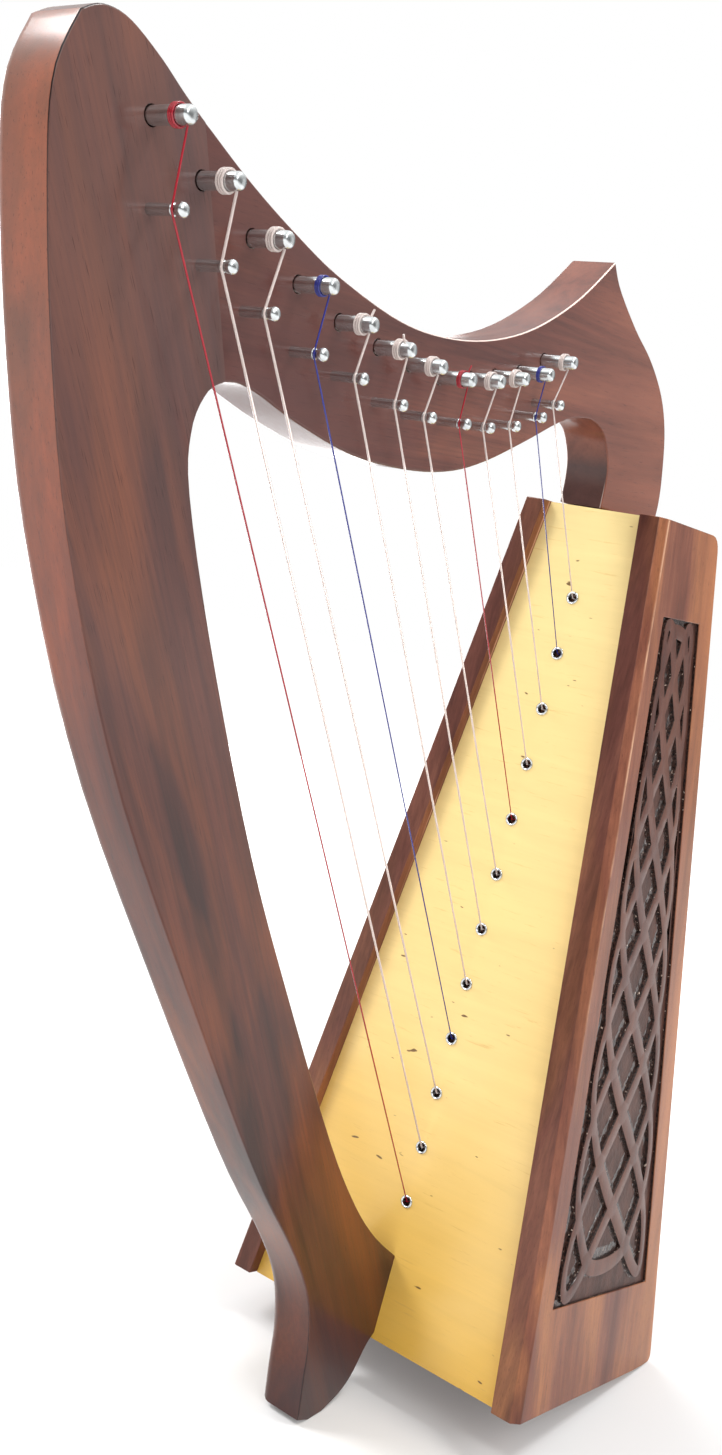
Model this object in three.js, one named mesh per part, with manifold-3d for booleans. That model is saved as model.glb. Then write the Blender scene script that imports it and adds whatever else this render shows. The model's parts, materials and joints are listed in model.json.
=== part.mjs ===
// Twelve-string lap harp: a curved pillar and neck over a tapered sound box.
//
// Millimetres, +Z up. X runs from the pillar towards the back of the sound box, Y from the string
// side to the far side. Outlines are drawn from the point on the floor straight below the middle
// of the soundboard's bottom edge, and the finished harp is then centred over the origin.
import * as THREE from 'three';
import { mergeVertices } from 'three/addons/utils/BufferGeometryUtils.js';
import Module from 'manifold-3d';

const wasm = await Module();
wasm.setup();

// ---- Driving dimensions ----------------------------------------------------------------------

// Pillar and neck are sawn from planks whose string-side face is just off the harp's middle plane,
// so that the strings, which run beside the planks, end on the middle line of the soundboard.
const plankNear = -1.7;
const plankThickness = 23.3;
const plankFar = plankNear + plankThickness;
const plankMiddle = (plankNear + plankFar) / 2;
const seatGap = 0.3; // between glued pieces

// Sound box. Positions in it are (t, s): t up along the soundboard, s from its front face backwards.
const boardLean = THREE.MathUtils.degToRad(5.6);
const boardFloorHeight = 26;
const boardLength = 424.5;
const boardThickness = 3;
const boardHalfWidthBottom = 74.3;
const boardHalfWidthTop = 25.7;
const taper = (boardHalfWidthBottom - boardHalfWidthTop) / boardLength;
const sideThickness = 13.5;
const sideProud = 6.6; // how far the side panels stand in front of the soundboard
const sideBottomFront = 0.5; // t of the side panels' bottom edge at the front, then its slope over s
const sideBottomSlope = -0.071;
const sideTopFront = 424;
const sideTopSlope = 0.12;
const sideBackAtBottom = 162.7;
const sideBackSlope = -0.2243;
const chamferAcross = 3.1;
const chamferDeep = 5.4;
const carvingDepth = 2.2;

const endPanelThickness = 10;
const endPanelInset = 1;
const topBlockThickness = 18;
const backPanelThickness = 4;
const backPanelInset = 2;
const soundHoles = [
  { t: 105, radius: 26 },
  { t: 215, radius: 20 },
  { t: 308, radius: 14 },
];

const ribThickness = 6;
const ribWidth = 14;
const heelBlock = { top: 46, depth: 26, width: 70 };

// Strings, from the longest to the shortest. The drill positions of each string's tuning pin and
// bridge pin are [x, z] in the neck, and its radius follows the gauge of a nylon harp string.
const stringCount = 12;
const firstEyelet = 70.3;
const eyeletPitch = 28.1;
const tuningPins = [
  [-290, 505], [-265.5, 495.5], [-239, 487], [-212.5, 480.5], [-187, 475], [-162, 473],
  [-140, 472.5], [-118.5, 473], [-97.5, 477.5], [-79.5, 483], [-60.5, 489.5], [-43, 499],
];
const bridgePins = [
  [-284.5, 480.5], [-260, 472], [-237, 464.5], [-209, 459], [-184.5, 457], [-158, 454],
  [-138, 454], [-113.5, 457], [-95.5, 459.5], [-76, 464.5], [-56.5, 472.5], [-44, 480.5],
];
const bassStringRadius = 0.5;
const trebleStringRadius = 0.35;

const pinRadius = 2.8;
const pinHoleRadius = 3.1;
const pinReach = 16.4; // out of the string-side face
const pinDrive = { side: 4, length: 12, shoulder: 1.5 };
const bridgePin = { radius: 1.8, headRadius: 2.3, grooveRadius: 1.45, reach: 15.2, depth: 12 };
const bridgeHoleRadius = 2;
const grooveY = -12.7;
const coilTurns = 2;
const coilSetback = -0.4; // from the groove's plane towards the neck

const eyelet = { flangeRadius: 3.2, barrelRadius: 2.5, holeRadius: 2.1, flangeHeight: 0.7 };
const eyeletBoreRadius = 2.7;
const screw = { radius: 2.1, headRadius: 4.2, headHeight: 2.4, holeRadius: 2.4 };
const pillarScrewHeight = 26; // t of the screw through the heel block into the pillar
const pillarScrewLength = 60;
const neckScrewDepth = 34; // s of the screw through the top block into the neck's leg
const neckScrewLength = 46;

// ---- Materials -------------------------------------------------------------------------------

const rosewood = new THREE.MeshStandardMaterial({ color: 0x5a2d22, roughness: 0.38, metalness: 0 });
const birch = new THREE.MeshStandardMaterial({ color: 0xe3bd62, roughness: 0.35, metalness: 0 });
const spruce = new THREE.MeshStandardMaterial({ color: 0xc9a46b, roughness: 0.7, metalness: 0 });
const nickel = new THREE.MeshStandardMaterial({ color: 0xb9b7b0, roughness: 0.25, metalness: 1 });
const steel = new THREE.MeshStandardMaterial({ color: 0x9a9a98, roughness: 0.35, metalness: 1 });
const nylon = {
  red: new THREE.MeshStandardMaterial({ color: 0xa3222c, roughness: 0.3, metalness: 0 }),
  blue: new THREE.MeshStandardMaterial({ color: 0x27306b, roughness: 0.3, metalness: 0 }),
  clear: new THREE.MeshStandardMaterial({ color: 0xe6ddd6, roughness: 0.2, metalness: 0 }),
};

// ---- Helpers ---------------------------------------------------------------------------------

const boardUp = new THREE.Vector3(Math.sin(boardLean), 0, Math.cos(boardLean));
const boardBack = new THREE.Vector3(Math.cos(boardLean), 0, -Math.sin(boardLean));
const across = new THREE.Vector3(0, 1, 0);
const boardOrigin = new THREE.Vector3(0, 0, boardFloorHeight);

/** The point (t, s) of the sound box, y across the harp. */
function inBox(t, s, y = 0) {
  return boardOrigin.clone().addScaledVector(boardUp, t).addScaledVector(boardBack, s).setY(y);
}

/** The same point as the [x, z] pair of a side view. */
function sideView(t, s) {
  const point = inBox(t, s);
  return [point.x, point.z];
}

/** A closed outline. Each run is a smooth curve through its points, or a straight line to one. */
function outline(start, ...runs) {
  const shape = new THREE.Shape();
  shape.moveTo(...start);
  for (const run of runs) {
    if (run.length === 1) shape.lineTo(...run[0]);
    else shape.splineThru(run.map(([x, z]) => new THREE.Vector2(x, z)));
  }
  return shape;
}

/** Extrudes a shape along its own normal and lays it on the given axes. */
function slab(shape, thickness, xAxis, yAxis, zAxis, origin, curveSegments = 4) {
  const geometry = new THREE.ExtrudeGeometry(shape, {
    depth: thickness, bevelEnabled: false, curveSegments,
  });
  const placed = new THREE.Matrix4().makeBasis(xAxis, yAxis, zAxis).setPosition(origin);
  return geometry.applyMatrix4(placed);
}

/** A side-view outline extruded across the harp, from y = near to y = far. */
function plank(shape, near, far, curveSegments) {
  const toViewer = new THREE.Vector3(0, -1, 0);
  const up = new THREE.Vector3(0, 0, 1);
  const origin = new THREE.Vector3(0, far, 0);
  return slab(shape, far - near, new THREE.Vector3(1, 0, 0), up, toViewer, origin, curveSegments);
}

function solidOf(geometry) {
  const bare = geometry.clone();
  bare.deleteAttribute('normal');
  bare.deleteAttribute('uv');
  const merged = mergeVertices(bare, 1e-4);
  return new wasm.Manifold(new wasm.Mesh({
    numProp: 3,
    vertProperties: new Float32Array(merged.attributes.position.array),
    triVerts: new Uint32Array(merged.index.array),
  }));
}

function geometryOf(solid) {
  const { vertProperties, triVerts } = solid.getMesh();
  const geometry = new THREE.BufferGeometry();
  geometry.setAttribute('position', new THREE.BufferAttribute(vertProperties, 3));
  geometry.setIndex(new THREE.BufferAttribute(triVerts, 1));
  return geometry;
}

function cut(geometry, cutters) {
  return geometryOf(cutters.reduce((solid, cutter) => solid.subtract(solidOf(cutter)), solidOf(geometry)));
}

function overlapOf(geometry, limit) {
  return geometryOf(solidOf(geometry).intersect(solidOf(limit)));
}

/** Mirrors a geometry in the harp's middle plane and keeps its faces pointing out. */
function mirrored(geometry) {
  const copy = mergeVertices(geometry.clone().deleteAttribute('normal')).scale(1, -1, 1);
  const index = copy.index.array;
  for (let i = 0; i < index.length; i += 3) [index[i], index[i + 1]] = [index[i + 1], index[i]];
  return copy;
}

/** A round bar along a direction, for holes. */
function bar(radius, length, start, direction, segments = 16) {
  const geometry = new THREE.CylinderGeometry(radius, radius, length, segments);
  geometry.translate(0, length / 2, 0);
  const turn = new THREE.Quaternion().setFromUnitVectors(across, direction);
  return geometry.applyQuaternion(turn).translate(start.x, start.y, start.z);
}

/** A turned piece whose profile is [radius, distance along the axis], placed along a direction. */
function turned(profile, start, direction, segments) {
  const points = profile.map(([radius, along]) => new THREE.Vector2(radius, along));
  const geometry = new THREE.LatheGeometry(points, segments);
  const turn = new THREE.Quaternion().setFromUnitVectors(across, direction);
  return geometry.applyQuaternion(turn).translate(start.x, start.y, start.z);
}

/** Rounded end of a turned piece: [radius, along] points from the rim to the axis. */
function dome(radius, rimAlong, tipAlong, steps) {
  return Array.from({ length: steps + 1 }, (_, i) => {
    const angle = (i / steps) * (Math.PI / 2);
    return [i === steps ? 0 : radius * Math.cos(angle), rimAlong + (tipAlong - rimAlong) * Math.sin(angle)];
  });
}

// ---- Pillar and neck -------------------------------------------------------------------------

// The glue line between pillar and neck rises from the top of the opening.
const glueLineBottom = [-238.3, 441.4];
const glueLineTop = [-268.9, 511.8];

function pillarGeometry() {
  const seatX = (z) => (z - boardFloorHeight) * Math.tan(boardLean) - seatGap;
  const shape = outline(
    [-53.5, 3],
    [
      [-56.4, 24], [-59, 43.5], [-68, 69], [-88, 97], [-128, 142.5], [-190.5, 223.5], [-251, 306.5],
      [-290, 378], [-310, 431], [-323, 478], [-326.5, 502.5], [-321.5, 520.5],
    ],
    [[-314.5, 525], [-304.5, 525.8], [-291, 521.5], [-279, 516], glueLineTop],
    [glueLineBottom],
    [
      [-245.5, 436], [-249, 423], [-243.5, 402], [-217, 351.5], [-173.5, 279.5], [-131, 219],
      [-78, 147.5], [-46.5, 110.5], [-21.5, 87], [seatX(69), 69],
    ],
    [[seatX(28.5), 28.5]],
    [[-5, 23.5], [-13, 10.8], [-21.5, 4.4], [-34, 0]],
    [[-45, 0]],
  );
  const holes = [0, 1].flatMap((i) => pinHoles(i));
  const screwHole = bar(screw.holeRadius, pillarScrewLength, inBox(pillarScrewHeight, 30, plankMiddle),
    boardBack.clone().negate(), 12);
  return cut(plank(shape, plankNear, plankFar), [...holes, screwHole]);
}

function neckGeometry() {
  const legBottom = (s) => {
    const [x, z] = sideView(sideTopFront + sideTopSlope * (s + sideProud), s);
    return [x, z + seatGap];
  };
  const shape = outline(
    [glueLineTop[0] + seatGap, glueLineTop[1]],
    [
      [-245, 503.1], [-219.5, 495.7], [-191.5, 489.5], [-152, 485.6], [-119, 488.2], [-86, 496.3],
      [-54.6, 509.9], [-23.5, 530.9], [2, 555],
    ],
    [
      [12.5, 546.2], [36.4, 534.5], [60, 525.5], [80.7, 513], [94.5, 497], [103.3, 476], [106.5, 462],
      legBottom(64),
    ],
    [legBottom(0.3)],
    [
      [41, 463], [37.5, 472.5], [28.5, 481.8], [17, 485.2], [4, 484.4], [-14, 479], [-44, 463], [-72, 449],
      [-97, 440], [-127, 434.7], [-163, 433], [-198, 437], [-220, 441.4], [-231, 442.6],
      [glueLineBottom[0] + seatGap, glueLineBottom[1]],
    ],
  );
  const holes = Array.from({ length: stringCount - 2 }, (_, i) => pinHoles(i + 2)).flat();
  const screwStart = neckScrewSeat();
  const screwHole = bar(screw.holeRadius, neckScrewLength, screwStart, neckScrewDirection(), 12);
  return cut(plank(shape, plankNear, plankFar), [...holes, screwHole]);
}

/** The through hole of a tuning pin and the blind hole of a bridge pin. */
function pinHoles(i) {
  const [tx, tz] = tuningPins[i];
  const [bx, bz] = bridgePins[i];
  const through = new THREE.Vector3(tx, plankNear - 1, tz);
  const blind = new THREE.Vector3(bx, plankNear - 1, bz);
  return [
    bar(pinHoleRadius, plankThickness + 2, through, across),
    bar(bridgeHoleRadius, bridgePin.depth + 1.5, blind, across, 10),
  ];
}

// ---- Sound box -------------------------------------------------------------------------------

const boxBottom = (s) => sideBottomFront + sideBottomSlope * (s + sideProud);
const boxTop = (s) => sideTopFront + sideTopSlope * (s + sideProud);
const boxBack = (t) => sideBackAtBottom + sideBackSlope * t;

/** Lays a side-view shape on the sloping side panels; height a is measured outwards from inside. */
function onNearSide(shape, from, to) {
  const xAxis = new THREE.Vector3(1, taper * Math.sin(boardLean), 0);
  const yAxis = new THREE.Vector3(0, taper * Math.cos(boardLean), 1);
  const outwards = new THREE.Vector3(0, -1, 0);
  const y = -boardHalfWidthBottom - taper * boardFloorHeight * Math.cos(boardLean) - from;
  return slab(shape, to - from, xAxis, yAxis, outwards, new THREE.Vector3(0, y, 0));
}

function sideShape() {
  const bottomBack = 164.5; // s where the bottom line and the back line would meet
  const topBack = 64.5;
  const shape = new THREE.Shape();
  shape.moveTo(...sideView(boxBottom(-sideProud), -sideProud));
  shape.lineTo(...sideView(boxBottom(130), 130));
  shape.quadraticCurveTo(...sideView(-10.7, 150), ...sideView(-10.2, bottomBack - 4));
  shape.quadraticCurveTo(...sideView(-9.7, bottomBack), ...sideView(-4.5, boxBack(-4.5)));
  shape.lineTo(...sideView(425.5, boxBack(425.5)));
  shape.quadraticCurveTo(...sideView(432.5, topBack + 0.8), ...sideView(431.9, 58));
  shape.lineTo(...sideView(boxTop(36), 36));
  shape.lineTo(...sideView(boxTop(-sideProud), -sideProud));
  return shape;
}

function carvedPanelShape() {
  return outline(sideView(49.5, 15), [sideView(39.2, 136.5)], [sideView(386.2, 58)], [sideView(380.4, 11)]);
}

function nearSideGeometry() {
  const body = onNearSide(sideShape(), 0, sideThickness);
  const pocket = onNearSide(carvedPanelShape(), sideThickness - carvingDepth, sideThickness + 5);
  const edge = new THREE.Shape();
  edge.moveTo(sideThickness - chamferAcross, -sideProud);
  edge.lineTo(sideThickness - chamferAcross * 1.5, -sideProud - chamferDeep / 2);
  edge.lineTo(sideThickness + chamferAcross, -sideProud - chamferDeep / 2);
  edge.lineTo(sideThickness + chamferAcross, -sideProud + chamferDeep * 2);
  edge.lineTo(sideThickness, -sideProud + chamferDeep);
  const along = boardUp.clone().addScaledVector(across, taper);
  const origin = inBox(0, 0, -boardHalfWidthBottom).addScaledVector(along, -20);
  const outwards = new THREE.Vector3(0, -1, 0);
  const chamfer = slab(edge, boardLength + 60, outwards, boardBack, along, origin);
  return cut(body, [pocket, chamfer]);
}

/** The wedge of space between the side panels. */
function insideWedge(gap) {
  const low = -30;
  const high = boardLength + 30;
  const halfWidth = (t) => boardHalfWidthBottom - taper * t - gap;
  const shape = outline([-halfWidth(low), low], [[halfWidth(low), low]], [[halfWidth(high), high]],
    [[-halfWidth(high), high]]);
  return slab(shape, 240, across, boardUp, boardBack, inBox(0, -30));
}

/** A side-view outline in (t, s) corners, filling the box from side panel to side panel. */
function betweenSides(...corners) {
  const [start, ...rest] = corners.map(([t, s]) => sideView(t, s));
  const wide = plank(outline(start, ...rest.map((corner) => [corner])), -100, 100);
  return overlapOf(wide, insideWedge(0.2));
}

function soundboardGeometry() {
  const halfWidth = (t) => boardHalfWidthBottom - taper * t - 0.2;
  const shape = outline([-halfWidth(0), 0], [[halfWidth(0), 0]], [[halfWidth(boardLength), boardLength]],
    [[-halfWidth(boardLength), boardLength]]);
  for (let i = 0; i < stringCount; i += 1) {
    shape.holes.push(new THREE.Path().absarc(0, eyeletHeight(i), eyeletBoreRadius, 0, Math.PI * 2));
  }
  shape.holes.push(new THREE.Path().absarc(plankMiddle, pillarScrewHeight, screw.holeRadius, 0, Math.PI * 2));
  return slab(shape, boardThickness, across, boardUp, boardBack, inBox(0, 0), 6);
}

function stringRibGeometry() {
  const half = ribWidth / 2;
  const bottom = heelBlock.top + 2;
  const top = boardLength - topBlockThickness - 3;
  const shape = outline([-half, bottom], [[half, bottom]], [[half, top]], [[-half, top]]);
  for (let i = 0; i < stringCount; i += 1) {
    shape.holes.push(new THREE.Path().absarc(0, eyeletHeight(i), 1.5, 0, Math.PI * 2));
  }
  return slab(shape, ribThickness, across, boardUp, boardBack, inBox(0, boardThickness + seatGap), 5);
}

function backPanelGeometry() {
  const outer = (t) => boxBack(t) - backPanelInset;
  const inner = (t) => outer(t) - backPanelThickness;
  const bottom = boxBottom(150) + 1;
  const top = boxTop(55) - 1;
  const panel = betweenSides([bottom, inner(bottom)], [bottom, outer(bottom)], [top, outer(top)],
    [top, inner(top)]);
  const outwards = boardBack.clone().addScaledVector(boardUp, -sideBackSlope).normalize();
  const holes = soundHoles.map(({ t, radius }) => {
    const start = inBox(t, outer(t)).addScaledVector(outwards, -20);
    return bar(radius, 40, start, outwards, 32);
  });
  return cut(panel, holes);
}

function endPanelGeometry() {
  const front = boardThickness + seatGap;
  const back = boxBack(0) - backPanelInset - backPanelThickness - 0.6;
  const under = (s) => boxBottom(s) + endPanelInset;
  return betweenSides([under(front), front], [under(back), back],
    [under(back) + endPanelThickness, back], [under(front) + endPanelThickness, front]);
}

function heelBlockGeometry() {
  const front = boardThickness + seatGap;
  const back = front + heelBlock.depth;
  const half = heelBlock.width / 2;
  const bottom = boxBottom(front) + endPanelInset + endPanelThickness + seatGap;
  const shape = outline([-half, bottom], [[half, bottom]], [[half, heelBlock.top]], [[-half, heelBlock.top]]);
  const hole = new THREE.Path().absarc(plankMiddle, pillarScrewHeight, screw.holeRadius, 0, Math.PI * 2);
  shape.holes.push(hole);
  return slab(shape, back - front, across, boardUp, boardBack, inBox(0, front), 6);
}

function topBlockGeometry() {
  const front = boardThickness + seatGap;
  const back = boxBack(boxTop(60)) - backPanelInset - backPanelThickness - 0.6;
  const block = betweenSides([boxTop(front) - topBlockThickness, front],
    [boxTop(back) - topBlockThickness, back], [boxTop(back) - 0.2, back], [boxTop(front) - 0.2, front]);
  const start = neckScrewSeat().addScaledVector(neckScrewDirection(), -10);
  return cut(block, [bar(screw.holeRadius, 60, start, neckScrewDirection(), 12)]);
}

// ---- Strings and their hardware --------------------------------------------------------------

function eyeletHeight(i) {
  return firstEyelet + eyeletPitch * i;
}

function stringRadius(i) {
  return THREE.MathUtils.lerp(bassStringRadius, trebleStringRadius, i / (stringCount - 1));
}

/** Turned shaft from the domed string end to the far face, with a square end for the tuning key. */
function tuningPinGeometry(i) {
  const tip = plankNear - pinReach;
  const shaftEnd = plankFar + pinDrive.shoulder;
  const profile = [
    [0, shaftEnd], [pinRadius, shaftEnd], [pinRadius, tip + pinRadius * 0.55],
    ...dome(pinRadius, tip + pinRadius * 0.55, tip, 3).slice(1),
  ].reverse();
  const [x, z] = tuningPins[i];
  const axisStart = new THREE.Vector3(x, 0, z);
  const shaft = turned(profile, axisStart, across, 14);
  const { side, length } = pinDrive;
  const drive = new THREE.BoxGeometry(side, length + 1, side);
  drive.translate(x, shaftEnd - 1 + (length + 1) / 2, z);
  return geometryOf(solidOf(shaft).add(solidOf(drive)));
}

/** Smooth pin with a groove for the string and a round head, driven into the neck. */
function bridgePinGeometry(i) {
  const tip = plankNear - bridgePin.reach;
  const root = plankNear + bridgePin.depth;
  const profile = [
    [0, root], [bridgePin.radius, root], [bridgePin.radius, grooveY + 1.1],
    [bridgePin.grooveRadius, grooveY + 0.7], [bridgePin.grooveRadius, grooveY - 0.7],
    [bridgePin.headRadius, grooveY - 1.3],
    ...dome(bridgePin.headRadius, tip + 1.4, tip, 2),
  ].reverse();
  const [x, z] = bridgePins[i];
  return turned(profile, new THREE.Vector3(x, 0, z), across, 10);
}

/** Flanged sleeve that lines a string hole in the soundboard. */
function eyeletGeometry(i) {
  const { flangeRadius, barrelRadius, holeRadius, flangeHeight } = eyelet;
  const under = -0.1;
  const barrelEnd = boardThickness - 0.1;
  const profile = [
    [holeRadius, barrelEnd], [holeRadius, under - flangeHeight * 0.5],
    [holeRadius + 0.45, under - flangeHeight], [flangeRadius, under - flangeHeight * 0.4],
    [flangeRadius, under], [barrelRadius, under], [barrelRadius, barrelEnd], [holeRadius, barrelEnd],
  ];
  return turned(profile, inBox(eyeletHeight(i), 0), boardBack, 12);
}

/** A path through given points, with as many steps as it has points. */
class PointPath extends THREE.Curve {
  constructor(points) {
    super();
    this.points = points;
  }

  getPoint(fraction, target = new THREE.Vector3()) {
    const place = Math.min(Math.max(fraction, 0), 1) * (this.points.length - 1);
    const i = Math.min(Math.floor(place), this.points.length - 2);
    return target.lerpVectors(this.points[i], this.points[i + 1], place - i);
  }

  getUtoTmapping(fraction) {
    return fraction;
  }
}

/**
 * The middle line of a string: its end behind the rib, up through the eyelet, round the pillar side
 * of the bridge pin, and in a coil round the tuning pin, which turns freely inside the coil.
 */
function stringPoints(i) {
  const radius = stringRadius(i);
  const t = eyeletHeight(i);
  const behindRib = boardThickness + seatGap + ribThickness + radius + 0.4;
  const [bx, bz] = bridgePins[i];
  const [tx, tz] = tuningPins[i];
  const bridgeRadius = bridgePin.grooveRadius + radius + 0.15;
  const coilRadius = (pinRadius + radius + 0.12) / Math.cos(Math.PI / 10);
  const start = inBox(t, 0);

  const toBridge = Math.atan2(bz - start.z, bx - start.x)
    + Math.asin(bridgeRadius / Math.hypot(bx - start.x, bz - start.z));
  const toPin = Math.atan2(tz - bz, tx - bx)
    - Math.asin((bridgeRadius + coilRadius) / Math.hypot(tx - bx, tz - bz));
  const onBridge = (angle) => new THREE.Vector3(
    bx + bridgeRadius * Math.cos(angle + Math.PI / 2), grooveY, bz + bridgeRadius * Math.sin(angle + Math.PI / 2));

  const points = [inBox(t, behindRib, 5), inBox(t, behindRib, 0.4), inBox(t, behindRib - 1.2, 0), start];
  const bridgeSteps = 3;
  for (let step = 0; step <= bridgeSteps; step += 1) {
    points.push(onBridge(THREE.MathUtils.lerp(toBridge, toPin, step / bridgeSteps)));
  }
  const coilSteps = coilTurns * 10;
  const coilPitch = 2 * radius + 0.12;
  const coilStart = grooveY + coilSetback;
  for (let step = 0; step <= coilSteps; step += 1) {
    const turn = step / 10;
    const angle = toPin - Math.PI / 2 + turn * Math.PI * 2;
    points.push(new THREE.Vector3(
      tx + coilRadius * Math.cos(angle), coilStart + turn * coilPitch, tz + coilRadius * Math.sin(angle)));
  }
  return points;
}

function stringGeometry(i) {
  const points = stringPoints(i);
  const section = new THREE.Shape();
  const corners = 5;
  for (let corner = 0; corner < corners; corner += 1) {
    const angle = (corner / corners) * Math.PI * 2;
    const [x, y] = [stringRadius(i) * Math.cos(angle), stringRadius(i) * Math.sin(angle)];
    if (corner === 0) section.moveTo(x, y);
    else section.lineTo(x, y);
  }
  return new THREE.ExtrudeGeometry(section, {
    steps: points.length - 1, extrudePath: new PointPath(points), bevelEnabled: false,
  });
}

// ---- Screws ----------------------------------------------------------------------------------

function neckScrewDirection() {
  return boardUp.clone().addScaledVector(boardBack, -sideTopSlope).normalize();
}

/** Where the head of the neck screw bears on the underside of the top block. */
function neckScrewSeat() {
  return inBox(boxTop(neckScrewDepth) - topBlockThickness - 0.1, neckScrewDepth, plankMiddle);
}

function screwGeometry(seat, direction, length) {
  const { radius, headRadius, headHeight } = screw;
  const profile = [
    [0, -headHeight], [headRadius * 0.7, -headHeight], [headRadius, -headHeight * 0.4], [headRadius, -0.1],
    [radius, -0.1], [radius, length - 6], [0, length],
  ];
  return turned(profile, seat, direction, 12);
}

// ---- Assembly --------------------------------------------------------------------------------

const harp = new THREE.Group();

function addPiece(name, geometry, material) {
  const mesh = new THREE.Mesh(geometry, material);
  mesh.name = name;
  harp.add(mesh);
}

addPiece('pillar', pillarGeometry(), rosewood);
addPiece('neck', neckGeometry(), rosewood);
addPiece('near_side', nearSideGeometry(), rosewood);
addPiece('far_side', mirrored(nearSideGeometry()), rosewood);
addPiece('soundboard', soundboardGeometry(), birch);
addPiece('string_rib', stringRibGeometry(), rosewood);
addPiece('back_panel', backPanelGeometry(), rosewood);
addPiece('end_panel', endPanelGeometry(), rosewood);
addPiece('heel_block', heelBlockGeometry(), spruce);
addPiece('top_block', topBlockGeometry(), spruce);

const pillarScrewSeat = inBox(pillarScrewHeight, boardThickness + seatGap + heelBlock.depth + 0.1, plankMiddle);
addPiece('pillar_screw', screwGeometry(pillarScrewSeat, boardBack.clone().negate(), pillarScrewLength - 5), steel);
addPiece('neck_screw', screwGeometry(neckScrewSeat(), neckScrewDirection(), neckScrewLength - 5), steel);

const stringColours = { 0: 'red', 3: 'blue', 7: 'red', 10: 'blue' };
for (let i = 0; i < stringCount; i += 1) {
  const number = String(i + 1).padStart(2, '0');
  addPiece(`tuning_pin_${number}`, tuningPinGeometry(i), nickel);
  addPiece(`bridge_pin_${number}`, bridgePinGeometry(i), nickel);
  addPiece(`eyelet_${number}`, eyeletGeometry(i), nickel);
  addPiece(`string_${number}`, stringGeometry(i), nylon[stringColours[i] ?? 'clear']);
}

// The origin is on the floor, in the middle of the harp's length and width.
const extent = new THREE.Box3().setFromObject(harp);
harp.position.set(-(extent.min.x + extent.max.x) / 2, -(extent.min.y + extent.max.y) / 2, -extent.min.z);

export default harp;
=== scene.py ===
"""Looks for the twelve-string lap harp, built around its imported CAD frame. Metres, +Z up."""
import json
import math

import bmesh
import bpy
import numpy as np
from mathutils import Matrix, Vector, noise
from mathutils.bvhtree import BVHTree
from mathutils.geometry import delaunay_2d_cdt


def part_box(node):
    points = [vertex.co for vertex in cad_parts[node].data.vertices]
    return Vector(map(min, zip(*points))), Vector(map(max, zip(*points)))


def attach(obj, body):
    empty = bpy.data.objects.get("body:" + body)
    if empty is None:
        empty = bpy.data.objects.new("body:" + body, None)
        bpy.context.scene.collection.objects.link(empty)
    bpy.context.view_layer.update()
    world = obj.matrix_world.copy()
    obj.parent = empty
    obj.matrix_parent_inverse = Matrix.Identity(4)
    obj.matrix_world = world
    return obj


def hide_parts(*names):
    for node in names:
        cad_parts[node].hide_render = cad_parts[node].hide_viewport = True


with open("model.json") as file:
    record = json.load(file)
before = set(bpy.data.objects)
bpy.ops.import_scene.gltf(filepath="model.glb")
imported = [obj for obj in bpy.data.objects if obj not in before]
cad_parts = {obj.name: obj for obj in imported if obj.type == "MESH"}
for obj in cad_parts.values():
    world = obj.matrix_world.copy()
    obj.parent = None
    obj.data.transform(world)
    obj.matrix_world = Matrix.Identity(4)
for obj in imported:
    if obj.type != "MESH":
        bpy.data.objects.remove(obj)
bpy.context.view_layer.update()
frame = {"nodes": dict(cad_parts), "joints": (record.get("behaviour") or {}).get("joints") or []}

MM = 0.001
STRING_COUNT = 12
NUMBERS = [f"{i:02d}" for i in range(1, STRING_COUNT + 1)]
WOODEN = (
    "pillar", "neck", "near_side", "far_side", "soundboard", "string_rib",
    "back_panel", "end_panel", "heel_block", "top_block",
)

# ---- The sound box's own frame: t up along the soundboard, s from its front face backwards, in mm

BOARD_LEAN = math.radians(5.6)
BOARD_THICKNESS = 3.0
BOARD_UP = Vector((math.sin(BOARD_LEAN), 0, math.cos(BOARD_LEAN)))
BOARD_BACK = Vector((math.cos(BOARD_LEAN), 0, -math.sin(BOARD_LEAN)))
board_low, board_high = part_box("soundboard")
BOARD_ORIGIN = Vector((board_low.x, 0, board_low.z + BOARD_THICKNESS * MM * math.sin(BOARD_LEAN)))


def in_box(t, s, y=0.0):
    """The point (t, s) of the sound box with y across the harp, all in millimetres."""
    point = BOARD_ORIGIN + (BOARD_UP * t + BOARD_BACK * s) * MM
    return Vector((point.x, y * MM, point.z))


def box_place(point):
    """The (t, s) of a point, in millimetres."""
    offset = point - BOARD_ORIGIN
    return offset.dot(BOARD_UP) / MM, offset.dot(BOARD_BACK) / MM


def span_y(node):
    """Where a node starts and ends across the harp, in millimetres."""
    low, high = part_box(node)
    return low.y / MM, high.y / MM


# ---- Shader nodes ----


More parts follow.
